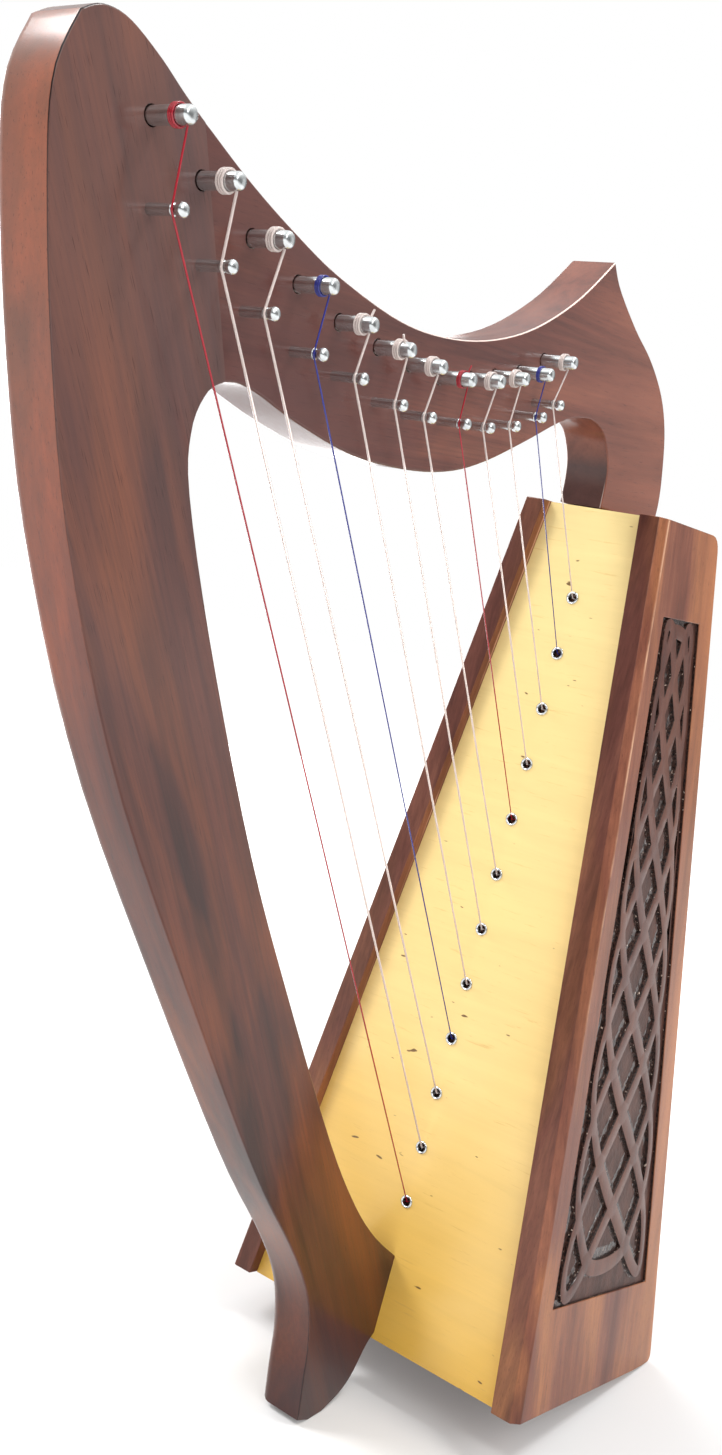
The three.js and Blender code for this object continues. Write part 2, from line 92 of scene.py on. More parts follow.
class Shader:
    """Adds nodes to a new material or world. Socket values are numbers, colours or sockets."""

    def __init__(self, name, owners=bpy.data.materials):
        self.owner = owners.new(name)
        self.owner.use_nodes = True
        self.tree = self.owner.node_tree
        self.tree.nodes.clear()

    def put(self, socket, value):
        if isinstance(value, bpy.types.NodeSocket):
            self.tree.links.new(value, socket)
        elif socket.type == "RGBA" and len(value) == 3:
            socket.default_value = (*value, 1)
        else:
            socket.default_value = value

    def add(self, kind, settings=None, numbered=(), **sockets):
        """A new node. numbered are values for its first sockets, in order."""
        node = self.tree.nodes.new("ShaderNode" + kind)
        for name, value in (settings or {}).items():
            setattr(node, name, value)
        for socket, value in zip(node.inputs, numbered):
            self.put(socket, value)
        for name, value in sockets.items():
            self.put(node.inputs[name.replace("_", " ")], value)
        return node

    def mix(self, factor, first, second, blend="MIX"):
        node = self.add("Mix", {"data_type": "RGBA", "blend_type": blend})
        for index, value in ((0, factor), (6, first), (7, second)):
            self.put(node.inputs[index], value)
        return node.outputs[2]

    def maths(self, operation, first, second=0.0):
        return self.add("Math", {"operation": operation}, (first, second)).outputs[0]

    def plus(self, first, second):
        return self.maths("ADD", first, second)

    def times(self, first, second):
        return self.maths("MULTIPLY", first, second)

    def gap(self, value, middle):
        """How far a value is from a middle, either way."""
        return self.maths("ABSOLUTE", self.maths("SUBTRACT", value, middle))

    def ramp(self, factor, *stops):
        """A colour ramp. Each stop is (position, grey or colour)."""
        node = self.add("ValToRGB", Fac=factor)
        elements = node.color_ramp.elements
        while len(elements) < len(stops):
            elements.new(0.5)
        for element, (position, value) in zip(elements, stops):
            element.position = position
            element.color = (value,) * 3 + (1,) if isinstance(value, (int, float)) else (*value, 1)
        return node.outputs[0]

    def place(self, turn=(0, 0, 0)):
        """Object coordinates in millimetres, turned."""
        where = self.add("TexCoord").outputs["Object"]
        turned = self.add("Mapping", Vector=where, Rotation=turn)
        return self.add("Mapping", Vector=turned.outputs[0], Scale=(1 / MM,) * 3).outputs[0]

    def noise(self, place, scale, detail=4.0, roughness=0.55, distortion=0.0, offset=0.0):
        """Noise whose features are 1 / scale millimetres along each axis."""
        where = self.add("Mapping", Vector=place, Scale=scale, Location=(offset,) * 3)
        node = self.add(
            "TexNoise", Vector=where.outputs[0], Scale=1.0, Detail=detail, Roughness=roughness,
            Distortion=distortion,
        )
        return node.outputs[0]

    def ranged(self, value, start, end, high=1.0, low=0.0):
        """low at the start of a range, high at its end, clamped."""
        return self.add("MapRange", None, (value, start, end, low, high)).outputs[0]

    def along(self, direction, vector=None):
        """How far a vector reaches along a direction. Without one, the place in millimetres."""
        vectors = (vector or self.place(), tuple(direction))
        return self.add("VectorMath", {"operation": "DOT_PRODUCT"}, vectors).outputs["Value"]

    def facing(self, direction, start, end):
        """1 where the surface looks in a direction."""
        normal = self.add("NewGeometry").outputs["Normal"]
        return self.ranged(self.along(direction, normal), start, end)

    def bump(self, height, depth, strength=1.0):
        """A bump whose full height is depth millimetres."""
        node = self.add("Bump", Strength=strength, Distance=depth * MM, Height=height)
        return node.outputs[0]

    def surface(self, **sockets):
        principled = self.add("BsdfPrincipled", **sockets)
        self.add("OutputMaterial", Surface=principled.outputs[0])
        return self.owner


# Noise scales of the wood, in features per millimetre along, across and through the grain.
STREAKS = (0.0035, 0.05, 0.06)
PATCHES = (0.005, 0.02, 0.028)
FINE_GRAIN = (0.012, 0.5, 0.75)
PORES = (0.10, 2.4, 2.4)
SHEEN = (0.02, 0.05, 0.05)
# Noise that breaks up the painted edge highlight.
PAINTED_HIGHLIGHT_BREAKS = (0.02, 0.02, 0.02)
# The painted pale highlight along an edge: the heights over which it fades in, and its colour.
PAINTED_EDGE_HIGHLIGHT_HEIGHTS = (120, 340)
PAINTED_EDGE_HIGHLIGHT_COLOUR = (0.56, 0.32, 0.20)
PORE_SHARE = 0.45
ALONG_Y = (0, 1, 0)
UPWARDS = (0, 0, 1)
FORWARDS = (-1, 0, 0)


def wood(
    name, tones, grain_angle, seed, coat=0.6, front=None, bands=(), tone_shifts=(), painted_edge_highlight=None, painted_edge_reflection=None,
):
    """Lacquered long-grained wood. grain_angle is the grain's slope in the side view, in degrees.

    tones are the dark, middle, light and warm colour of the grain. bands are (direction, start,
    end, colour) of stripes of another tone, in millimetres along the direction. The tone shifts are
    (start, end, share, colour) over the height; on the pillar they are a painted grey sheen over
    the top and a darker foot. The edge highlight is (direction, reach, half width) of a painted
    pale highlight line. front is (low height, high height, low tint, high tint) of painted light
    and shade on the faces that look to the front. The edge reflection is (y, half width, direction,
    colour) of a painted reflection, pale or dark, along the rounded edges that look in a direction.
    """
    dark, middle, light, warm = tones
    shader = Shader(name)
    place = shader.place((0, math.radians(grain_angle), 0))
    height = shader.along(UPWARDS)
    streaks = shader.noise(place, STREAKS, 7, 0.62, 0.35, seed)
    colour = shader.ramp(streaks, (0.36, dark), (0.5, middle), (0.64, light))
    patches = shader.noise(place, PATCHES, 3, 0.5, 0.6, seed + 3)
    colour = shader.mix(shader.ramp(patches, (0.47, 0.0), (0.66, 0.75)), colour, warm)
    fine = shader.noise(place, FINE_GRAIN, 5, 0.65, 0.0, seed + 7)
    colour = shader.mix(0.8, colour, shader.ramp(fine, (0.3, 0.55), (0.7, 1.0)), "MULTIPLY")
    for direction, start, end, tone in bands:
        share = shader.ranged(shader.along(direction), start, end)
        waver = shader.ramp(streaks, (0.3, 0.4), (0.6, 1.0))
        colour = shader.mix(shader.times(share, waver), colour, tone)
    # Colours mixed in over the height: on the pillar a painted grey sheen over the top and a darker
    # foot.
    for start, end, share, height_colour in tone_shifts:
        colour = shader.mix(shader.ranged(height, start, end, share), colour, height_colour)
    # A painted pale highlight line along an edge, broken up by noise and fading in with height.
    if painted_edge_highlight:
        direction, reach, half = painted_edge_highlight
        gap = shader.gap(shader.along(direction), reach)
        highlight_breaks = shader.noise(place, PAINTED_HIGHLIGHT_BREAKS, 3, 0.7, 0.0, 4)
        share = shader.times(shader.ranged(gap, half, 0.0), shader.ranged(height, *PAINTED_EDGE_HIGHLIGHT_HEIGHTS))
        share = shader.times(share, shader.ramp(highlight_breaks, (0.42, 0.15), (0.6, 1.0)))
        colour = shader.mix(share, colour, PAINTED_EDGE_HIGHLIGHT_COLOUR)
    # Painted light and shade on the faces that look to the front, tinted by height.
    if front:
        low, high, low_tint, high_tint = front
        tint = shader.mix(shader.ranged(height, low, high), low_tint, high_tint)
        share = shader.facing(FORWARDS, 0.7, 0.95)
        colour = shader.mix(share, colour, shader.mix(1.0, colour, tint, "MULTIPLY"))
    # A painted reflection, pale or dark, along the rounded edges that look in a direction.
    if painted_edge_reflection:
        across, half, direction, line = painted_edge_reflection
        gap = shader.gap(shader.along(ALONG_Y), across)
        outwards = shader.facing(direction, 0.35, 0.6)
        share = shader.times(shader.ranged(gap, half, half / 2), outwards)
        colour = shader.mix(share, colour, line)
    pores = shader.noise(place, PORES, 2, 0.5, 0.0, seed + 11)
    pore_depth = shader.ramp(pores, (0.62, 0.0), (0.70, 1.0))
    colour = shader.mix(shader.times(pore_depth, PORE_SHARE), colour, dark_of(dark, 0.45))
    sheen = shader.noise(place, SHEEN, 2, 0.5, 0.0, seed + 17)
    relief = shader.maths("SUBTRACT", shader.times(fine, 0.4), pore_depth)
    return shader.surface(
        Base_Color=colour,
        Roughness=shader.plus(shader.times(fine, 0.2), 0.38),
        Specular_IOR_Level=0.12,
        Coat_Weight=coat,
        Coat_Roughness=shader.plus(shader.times(sheen, 0.12), 0.14),
        Normal=shader.bump(relief, 0.05, 0.6),
    )


def dark_of(colour, share):
    return tuple(channel * share for channel in colour)


BOARD_GOLDEN = (0.68, 0.40, 0.060)
BOARD_YELLOW = (0.80, 0.58, 0.23)
BOARD_PALE = (0.74, 0.58, 0.26)
BOARD_FLECK = (0.52, 0.30, 0.08)
BOARD_SPECK = (0.10, 0.045, 0.015)


def lacquered_board():
    """Pale yellow plywood face, its grain across the board, more golden towards the bottom."""
    shader = Shader("lacquered_birch")
    place = shader.place((0, BOARD_LEAN, 0))
    height = shader.along(UPWARDS, place)
    ripples = shader.noise(place, (0.05, 0.006, 0.11), 5, 0.6, 0.9, 2)
    flecks = shader.noise(place, (0.3, 0.045, 0.75), 4, 0.65, 0.3, 5)
    clouds = shader.noise(place, (0.008, 0.008, 0.008), 3, 0.5, 0.4, 9)
    up = shader.maths("DIVIDE", height, (board_high.z - board_low.z) / MM)
    lift = shader.plus(up, shader.times(shader.maths("SUBTRACT", clouds, 0.5), 0.5))
    base = shader.ramp(lift, (0.05, BOARD_GOLDEN), (0.4, BOARD_YELLOW), (0.95, BOARD_PALE))
    base = shader.mix(0.5, base, shader.ramp(ripples, (0.32, 0.86), (0.66, 1.0)), "MULTIPLY")
    base = shader.mix(shader.ramp(flecks, (0.62, 0.0), (0.74, 0.5)), base, BOARD_FLECK)
    specks = shader.noise(place, (0.30, 0.12, 0.36), 1, 0.4, 0.0, 31)
    base = shader.mix(shader.ramp(specks, (0.77, 0.0), (0.80, 0.9)), base, BOARD_SPECK)
    return shader.surface(
        Base_Color=base,
        Roughness=0.42,
        Specular_IOR_Level=0.2,
        Coat_Weight=0.5,
        Coat_Roughness=0.2,
        Normal=shader.bump(flecks, 0.04, 0.5),
    )


def bare_wood(name, light, dark, seed):
    shader = Shader(name)
    place = shader.place()
    grain = shader.noise(place, (0.02, 0.25, 0.03), 5, 0.6, 0.5, seed)
    return shader.surface(
        Base_Color=shader.ramp(grain, (0.35, dark), (0.62, light)),
        Roughness=0.7,
        Normal=shader.bump(grain, 0.1, 0.6),
    )


def metal(name, colour, roughness, seed):
    """Plated metal with faint turning marks."""
    shader = Shader(name)
    place = shader.place()
    marks = shader.noise(place, (0.15, 0.6, 0.15), 1, 0.5, 0.0, seed)
    tone_shifts = shader.noise(place, (0.2, 0.2, 0.2), 2, 0.5, 0.0, seed + 5)
    stained = shader.ramp(tone_shifts, (0.45, 0.0), (0.75, 0.35))
    return shader.surface(
        Base_Color=shader.mix(stained, colour, dark_of(colour, 0.6)),
        Metallic=1.0,
        Roughness=shader.plus(shader.times(marks, 0.1), roughness - 0.05),
        Normal=shader.bump(marks, 0.004, 0.15),
    )


def nylon(name, colour, clearness):
    """Drawn nylon, more or less see-through, with a faint change of thickness along it."""
    shader = Shader(name)
    waver = shader.noise(shader.place(), (0.5, 0.5, 0.5), 2, 0.5)
    darker = shader.ramp(waver, (0.4, 0.0), (0.7, 0.3))
    return shader.surface(
        Base_Color=shader.mix(darker, colour, dark_of(colour, 0.8)),
        Roughness=0.16,
        IOR=1.53,
        Transmission_Weight=clearness,
        Normal=shader.bump(waver, 0.02, 0.3),
    )


# The colour of the glints painted as pale dots on the punched ground.
PAINTED_GLINT_COLOUR = (0.52, 0.40, 0.33)


def punched_ground():
    """The dark ground of the carving. Its punched parts are darker and glint, and pale dots are
    painted on them as glints.
    """
    shader = Shader("punched_ground")
    place = shader.place()
    punched = shader.add("Attribute", {"attribute_name": "punched"}).outputs["Fac"]
    tone = shader.noise(place, (0.09, 0.09, 0.06), 4, 0.6, 0.5, 4)
    dots = shader.noise(place, (0.75, 0.75, 0.75), 2, 0.6, 0.0, 8)
    plain = shader.ramp(tone, (0.38, (0.046, 0.017, 0.012)), (0.66, (0.090, 0.037, 0.026)))
    dark = shader.ramp(dots, (0.35, (0.004, 0.0015, 0.001)), (0.65, (0.055, 0.022, 0.015)))
    # Painted glints: pale dots over the punched parts.
    painted_glint_dots = shader.noise(place, (0.62, 0.62, 0.62), 1, 0.5, 0.0, 15)
    dark = shader.mix(shader.ramp(painted_glint_dots, (0.70, 0.0), (0.75, 1.0)), dark, PAINTED_GLINT_COLOUR)
    relief = shader.times(dots, shader.plus(shader.times(punched, 0.9), 0.1))
    return shader.surface(
        Base_Color=shader.mix(punched, plain, dark),
        Roughness=0.45,
        Specular_IOR_Level=0.12,
        Coat_Weight=shader.plus(shader.times(punched, 0.7), 0.1),
        Coat_Roughness=0.07,
        Normal=shader.bump(relief, 1.6, 1.0),
    )


# The sides' back edge: how far it lies along its normal, in millimetres.
BACK_EDGE_AT_BOTTOM = 162.7
BACK_EDGE_SLOPE = 0.2243
BACK_EDGE_NORMAL = (BOARD_BACK + BOARD_UP * BACK_EDGE_SLOPE).normalized()
BACK_EDGE_REACH = in_box(0, BACK_EDGE_AT_BOTTOM).dot(BACK_EDGE_NORMAL) / MM

# Where the chamfer of the sides meets their outer face.
CHAMFER_REACH = in_box(0, -1.2).dot(BOARD_BACK) / MM

# The dark, middle, light and warm colour of each wood's grain.
PILLAR_TONES = (
    (0.032, 0.007, 0.005), (0.073, 0.018, 0.012), (0.115, 0.030, 0.017), (0.22, 0.056, 0.015),
)
NECK_TONES = (
    (0.080, 0.023, 0.018), (0.135, 0.039, 0.028), (0.182, 0.057, 0.038), (0.24, 0.080, 0.046),
)
SIDE_TONES = (
    (0.125, 0.038, 0.022), (0.200, 0.064, 0.037), (0.275, 0.098, 0.053), (0.44, 0.170, 0.064),
)
KNOT_TONES = (
    (0.075, 0.025, 0.018), (0.110, 0.039, 0.027), (0.145, 0.055, 0.037), (0.170, 0.065, 0.038),
)
PANEL_TONES = (
    (0.055, 0.018, 0.014), (0.110, 0.036, 0.025), (0.160, 0.054, 0.036), (0.210, 0.068, 0.027),
)
# Painted shade on the neck's faces that look to the front.
NECK_FRONT_PAINTED_SHADE = (0.3, 0.35, 0.45)
NECK_JOINT_TONE = (0.085, 0.030, 0.026)
# A painted grey sheen over the pillar's top; the foot below is darker towards the bottom.
PAINTED_GREY_SHEEN = (0.135, 0.086, 0.082)
DARK_FOOT = (0.030, 0.009, 0.008)
# Painted reflections along rounded edges: dark on the pillar's near front edge, a pale highlight on
# the neck's near top edge.
PAINTED_DARK_EDGE_REFLECTION = (0.012, 0.005, 0.005)
PAINTED_PALE_EDGE_HIGHLIGHT = (0.74, 0.58, 0.52)
PILLAR_FACE = span_y("pillar")[0]
NECK_FACE = span_y("neck")[0]

materials = {
    # Pillar: painted light on its front faces, brighter and warmer towards the top, a painted grey
    # sheen over its top, a darker foot, and a painted dark reflection along its near front edge.
    "pillar": wood(
        "pillar_wood", PILLAR_TONES, 122, 1, front=(290, 370, (1.1, 1.0, 1.0), (2.0, 1.35, 0.85)),
        tone_shifts=((300, 460, 0.42, PAINTED_GREY_SHEEN), (110, 20, 0.6, DARK_FOOT)),
        painted_edge_reflection=(PILLAR_FACE + 0.3, 0.29, (-0.8, 0, 0.6), PAINTED_DARK_EDGE_REFLECTION),
    ),
    # Neck: painted shade on its front faces and a painted pale highlight along its near top edge.
    "neck": wood(
        "neck_wood", NECK_TONES, 6, 21, front=(0, 1, NECK_FRONT_PAINTED_SHADE, NECK_FRONT_PAINTED_SHADE),
        bands=(((1, 0, 0), 20, 200, NECK_TONES[3]), ((-1, 0, 0), 10, 110, NECK_JOINT_TONE)),
        painted_edge_reflection=(NECK_FACE + 0.42, 0.41, (-0.5, 0, 0.85), PAINTED_PALE_EDGE_HIGHLIGHT),
    ),
    # Sides: painted shade on their front faces, darker towards the top, and a painted highlight
    # line along the chamfer edge.
    "side": wood(
        "side_wood", SIDE_TONES, 90, 41, coat=0.35, painted_edge_highlight=(BOARD_BACK, CHAMFER_REACH, 0.9),
        front=(60, 420, (0.75, 0.8, 0.9), (0.5, 0.48, 0.6)),
        bands=((BACK_EDGE_NORMAL, BACK_EDGE_REACH - 26, BACK_EDGE_REACH + 6, SIDE_TONES[3]),),
    ),
    "knot": wood("knot_wood", KNOT_TONES, 90, 61, coat=0.35),
    "panel": wood("panel_wood", PANEL_TONES, 90, 81),
    "board": lacquered_board(),
    "spruce": bare_wood("spruce_wood", (0.62, 0.42, 0.22), (0.42, 0.25, 0.11), 3),
    "ground": punched_ground(),
    "nickel": metal("nickel_plate", (0.65, 0.68, 0.69), 0.24, 2),
    "steel": metal("zinc_steel", (0.58, 0.58, 0.57), 0.36, 6),
    "clear": nylon("clear_nylon", (0.84, 0.73, 0.69), 0.42),
    "red": nylon("red_nylon", (0.36, 0.013, 0.026), 0.1),
    "blue": nylon("blue_nylon", (0.028, 0.032, 0.23), 0.1),
}

# ---- Mesh helpers ----


def in_scene(name, data):
    """A new object in the scene."""
    made = bpy.data.objects.new(name, data)
    bpy.context.scene.collection.objects.link(made)
    return made


def new_piece(name, mesh, material, body="root", replaces=()):
    piece = in_scene(name, mesh)
    if material is not None:
        mesh.materials.clear()
        mesh.materials.append(material)
    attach(piece, body)
    if replaces:
        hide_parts(*replaces)
    return piece


def smooth(mesh, angle=30):
    mesh.shade_smooth()
    mesh.set_sharp_from_angle(angle=math.radians(angle))


def flat_faces_first(piece):
    """Large flat faces keep flat shading next to their eased edges."""
    modifier = piece.modifiers.new("weighted_normals", "WEIGHTED_NORMAL")
    modifier.keep_sharp = True
    modifier.weight = 80


# Glued faces lie closer than this. Each side of a joint moves by a share of the gap to close it.
GLUE_REACH = 0.5 * MM
GLUE_SHARE = 0.45
PLANK_GLUE_SHARE = 0.49
SAME_PLACE = 2e-6
surface_trees = {
    node: BVHTree.FromPolygons(
        [v.co for v in frame["nodes"][node].data.vertices],
        [tuple(p.vertices) for p in frame["nodes"][node].data.polygons],
    )
    for node in WOODEN
}


def glued_point(point, node):
    """The nearest point on a neighbouring wooden piece across a glue joint, or None."""
    best = None
    for other in WOODEN:
        if other == node:
            continue
        found, _, _, distance = surface_trees[other].find_nearest(point, GLUE_REACH)
        if found is not None and (best is None or distance < best[1]):
            best = (found, distance)
    return best and best[0]


def eased_copy(node, name, material, width, angle=32, segments=3):
    """A copy of a wooden CAD node with closed glue joints and rounded edges, shown in its place."""
    mesh = frame["nodes"][node].data.copy()
    solid = bmesh.new()
    solid.from_mesh(mesh)
    bmesh.ops.remove_doubles(solid, verts=solid.verts, dist=SAME_PLACE)
    bmesh.ops.dissolve_limit(
        solid, angle_limit=math.radians(0.6), verts=solid.verts, edges=solid.edges
    )
    glued = {vert: glued_point(vert.co, node) for vert in solid.verts}
    edges = [
        edge for edge in solid.edges
        if edge.is_manifold
        and edge.calc_face_angle() > math.radians(angle)
        and not (glued[edge.verts[0]] and glued[edge.verts[1]])
    ]
    for vert, target in glued.items():
        if target:
            vert.co = vert.co.lerp(target, GLUE_SHARE)
    bmesh.ops.bevel(
        solid, geom=edges, offset=width * MM, offset_type="OFFSET", segments=segments, profile=0.5,
        affect="EDGES", clamp_overlap=False,
    )
    bmesh.ops.recalc_face_normals(solid, faces=solid.faces)
    solid.to_mesh(mesh)
    solid.free()
    smooth(mesh, 35)
    piece = new_piece(name, mesh, material, replaces=(node,))
    flat_faces_first(piece)
    return piece


def lofted(sections, closed=False, sharp=32):
    """A mesh through rings of points. An open loft's ends are filled."""
    solid = bmesh.new()
    rings = [[solid.verts.new(point) for point in section] for section in sections]
    walled(solid, rings + rings[:1] if closed else rings)
    if not closed:
        solid.faces.new(reversed(rings[0]))
        solid.faces.new(rings[-1])
    return finished(solid, "loft", sharp)


def ring(centre, axis, across, radius, segments=32, shape=None):
    """A ring of points round an axis. shape scales the radius by angle."""
    side = axis.cross(across).normalized()
    points = []
    for i in range(segments):
        angle = 2 * math.pi * i / segments
        r = radius * (shape(angle) if shape else 1.0)
        points.append(centre + across * (r * math.cos(angle)) + side * (r * math.sin(angle)))
    return points


def turned(profile, start, axis, **settings):
    """A turned mesh. profile is (radius, distance along the axis) in millimetres."""
    across = axis.orthogonal().normalized()
    rings = [
        ring(start + axis * (along * MM), axis, across, radius * MM) for radius, along in profile
    ]
    return lofted(rings, **settings)


def rounded_end(radius, rim, tip, steps=6):
    """(radius, along) points from the rim of a rounded end towards its tip."""
    points = []
    for i in range(1, steps + 1):
        angle = math.pi / 2 * i / steps
        points.append((max(radius * math.cos(angle), 0.03), rim + (tip - rim) * math.sin(angle)))
    return points


def tube(points, radius, name, material, body="root", replaces=()):
    """A round cord through points, as a mesh piece."""
    curve = bpy.data.curves.new(name, "CURVE")
    curve.dimensions = "3D"
    curve.bevel_depth = radius
    curve.bevel_resolution = 3
    curve.use_fill_caps = True
    spline = curve.splines.new("POLY")
    spline.points.add(len(points) - 1)
    for knot, point in zip(spline.points, points):
        knot.co = (*point, 1)
    carrier = in_scene(name + "_curve", curve)
    graph = bpy.context.evaluated_depsgraph_get()
    mesh = bpy.data.meshes.new_from_object(carrier.evaluated_get(graph))
    bpy.data.objects.remove(carrier)
    mesh.name = name
    smooth(mesh, 60)
    return new_piece(name, mesh, material, body, replaces)


# ---- Outlines: loops of 2-D points with the solid on their left ----


def chained(directed):
    """Loops of vertex numbers from directed triangle sides, leaving out the shared ones."""
    onward = {}
    for a, b in directed:
        if (b, a) not in directed:
            onward.setdefault(a, []).append(b)
    loops = []
    while onward:
        start = here = min(onward)
        loop = []
        while here in onward:
            loop.append(here)
            following = onward[here].pop()
            if not onward[here]:
                del onward[here]
            here = following
            if here == start:
                break
        loops.append(loop)
    return [loop for loop in loops if len(loop) > 2]


def middle_of(places):
    return sum(places, Vector((0, 0))) / len(places)


def thinned(loop, gap):
    """The loop without points that nearly coincide."""
    kept = []
    for point in loop:
        if not kept or (point - kept[-1]).length > gap:
            kept.append(point)
    while len(kept) > 3 and (kept[0] - kept[-1]).length <= gap:
        kept.pop()
    return kept


def stepped_in(loop, distances):
    """The loop with each side moved to its left by its own distance, and mitred corners."""
    moved = []
    for i, point in enumerate(loop):
        before = (point - loop[i - 1]).normalized()
        after = (loop[(i + 1) % len(loop)] - point).normalized()
        first = Vector((-before.y, before.x))
        second = Vector((-after.y, after.x))
        a, b = distances[i - 1], distances[i]
        turn = first.cross(second)
        if abs(turn) < 0.3:
            moved.append(point + (first + second).normalized() * ((a + b) / 2))
        else:
            across = Vector((a * second.y - b * first.y, b * first.x - a * second.x)) / turn
            moved.append(point + across * min(1.0, 2 * max(a, b) / max(across.length, 1e-9)))
    return moved


def crossings(point, loops):
    """How often a ray from the point meets the loops."""
    count = 0
    for loop in loops:
        for a, b in zip(loop, loop[1:] + loop[:1]):
            if (a.y > point.y) != (b.y > point.y):
                count += point.x < a.x + (point.y - a.y) * (b.x - a.x) / (b.y - a.y)
    return count


def filled(solid, loops, rings, lift):
    """Fills the flat area between loops whose mesh vertices are rings. lift places a new vertex."""
    places = [place for loop in loops for place in loop]
    owners = [vert for verts in rings for vert in verts]
    edges = []
    first = 0
    for loop in loops:
        edges += [(first + i, first + (i + 1) % len(loop)) for i in range(len(loop))]
        first += len(loop)
    verts, _, faces, sources, _, _ = delaunay_2d_cdt(places, edges, [], 0, 1e-6)
    corners = [
        owners[source[0]] if source else solid.verts.new(lift(vert))
        for vert, source in zip(verts, sources)
    ]
    for face in faces:
        centre = middle_of([verts[i] for i in face])
        triangle = [corners[i] for i in face]
        distinct = len(set(triangle)) == 3 and not solid.faces.get(triangle)
        if distinct and crossings(centre, loops) % 2:
            solid.faces.new(triangle)


def walled(solid, rings):
    """Joins a stack of matching rings with walls."""
    for lower, upper in zip(rings, rings[1:]):
        for i in range(len(lower)):
            j = (i + 1) % len(lower)
            solid.faces.new((lower[i], lower[j], upper[j], upper[i]))


def finished(solid, name, angle):
    """The closed mesh with outward normals, smooth up to an angle in degrees."""
    bmesh.ops.recalc_face_normals(solid, faces=solid.faces)
    mesh = bpy.data.meshes.new(name)
    solid.to_mesh(mesh)
    solid.free()
    smooth(mesh, angle)
    return mesh


ROUND_STEPS = 4
HOLE_ROUND = 0.25
HOLE_POINTS = 60  # a loop with fewer points is a hole
LOOP_GAP = 0.02
SAME_MIDDLE = 0.5


def face_loops(node, level, facing):
    """(x, z) loops in millimetres round a node's flat faces at one y."""
    solid = bmesh.new()
    solid.from_mesh(frame["nodes"][node].data)
    bmesh.ops.remove_doubles(solid, verts=solid.verts, dist=SAME_PLACE)
    directed = set()
    for face in solid.faces:
        if face.normal.y * facing > 0.99 and abs(face.calc_center_median().y - level) < 0.01 * MM:
            numbers = [vert.index for vert in face.verts]
            directed.update(zip(numbers, numbers[1:] + numbers[:1]))
    solid.verts.ensure_lookup_table()
    loops = [
        [Vector((solid.verts[i].co.x, solid.verts[i].co.z)) / MM for i in loop]
        for loop in chained(directed)
    ]
    solid.free()
    return [thinned(loop, LOOP_GAP) for loop in loops]


def eased_plank(node, name, material, near_round, far_round):
    """A flat plank with its through holes and rounded edges. Glued edges stay sharp."""
    low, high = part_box(node)
    back_middles = [middle_of(loop) for loop in face_loops(node, high.y, 1)]
    loops = [
        loop for loop in face_loops(node, low.y, -1)
        if any((middle_of(loop) - middle).length < SAME_MIDDLE for middle in back_middles)
    ]

    def standing(place, y):
        return Vector((place.x * MM, y, place.y * MM))

    turns = [math.pi / 2 * k / ROUND_STEPS for k in range(ROUND_STEPS + 1)]
    solid = bmesh.new()
    fronts, backs, front_rings, back_rings = [], [], [], []
    for loop in loops:
        glued = [glued_point(standing(place, low.y), node) for place in loop]
        loop = [
            place.lerp(Vector((other.x, other.z)) / MM, PLANK_GLUE_SHARE) if other else place
            for place, other in zip(loop, glued)
        ]
        rings = []
        for level, inwards, easing in ((low.y, MM, near_round), (high.y, -MM, far_round)):
            if len(loop) < HOLE_POINTS:
                easing = HOLE_ROUND
            free = [0.0 if a and b else easing for a, b in zip(glued, glued[1:] + glued[:1])]
            for bend in turns if inwards > 0 else reversed(turns):
                places = stepped_in(loop, [d * (1 - math.sin(bend)) for d in free])
                depths = [max(d, free[i - 1]) * (1 - math.cos(bend)) for i, d in enumerate(free)]
                rings.append([
                    solid.verts.new(standing(place, level + depth * inwards))
                    for place, depth in zip(places, depths)
                ])
                if bend == 0:
                    (fronts if inwards > 0 else backs).append(places)
        walled(solid, rings)
        front_rings.append(rings[0])
        back_rings.append(rings[-1])
    filled(solid, fronts, front_rings, lambda place: standing(place, low.y))
    filled(solid, backs, back_rings, lambda place: standing(place, high.y))
    bmesh.ops.remove_doubles(solid, verts=solid.verts, dist=1e-6)
    piece = new_piece(name, finished(solid, name, 35), material, replaces=(node,))
    flat_faces_first(piece)
    return piece


# ---- Wooden pieces ----

# The last two numbers round the near and the far edges.
eased_plank("pillar", "pillar_plank", materials["pillar"], 0.7, 5.0)
eased_plank("neck", "neck_plank", materials["neck"], 0.9, 1.6)
side_panels = [
    eased_copy(f"{side}_side", f"{side}_side_panel", materials["side"], 0.5, 24, 2)
    for side in ("near", "far")
]
for node, name, material, slot, width, segments in (
    ("soundboard", "lacquered_soundboard", "board", "birch_ply", 0.4, 2),
    ("string_rib", "eased_string_rib", "panel", "rosewood", 0.5, 2),
    ("back_panel", "back_panel_board", "panel", "rosewood", 0.8, 3),
    ("end_panel", "end_panel_board", "panel", "rosewood", 0.8, 3),
    ("heel_block", "eased_heel_block", "spruce", "spruce", 0.6, 2),
    ("top_block", "eased_top_block", "spruce", "spruce", 0.6, 2),
):
    eased_copy(node, name, materials[material], width, segments=segments)

# ---- Knotwork ----

# The carving is one closed cord that crosses itself like a six-strand plait. Rows of crossings are
# counted from the bottom, and a strand swings from edge to edge of the panel over six rows.
STRANDS = 6
LAST_ROW = 14
STEPS_PER_ROW = 5
ROW_START = 65.4
ROW_STEP = 24.77
ROW_SHRINK = 0.186
RIBBON_MIDDLE = 8.4
RIBBON_EDGE_LOSS = 2.5
RIBBON_TOP_LOSS = 0.13
RIBBON_ROUND = 0.35
RIBBON_SINK = 0.15
POCKET_DEPTH = 2.2
POCKET_T = (38, 388)
POCKET_S = (10, 138)

# s of the plait's front and back edge lines, as (s at the bottom, slope).
FRONT_LINE = (23.7, -0.016)
BACK_LINE = (136.4, -0.226)

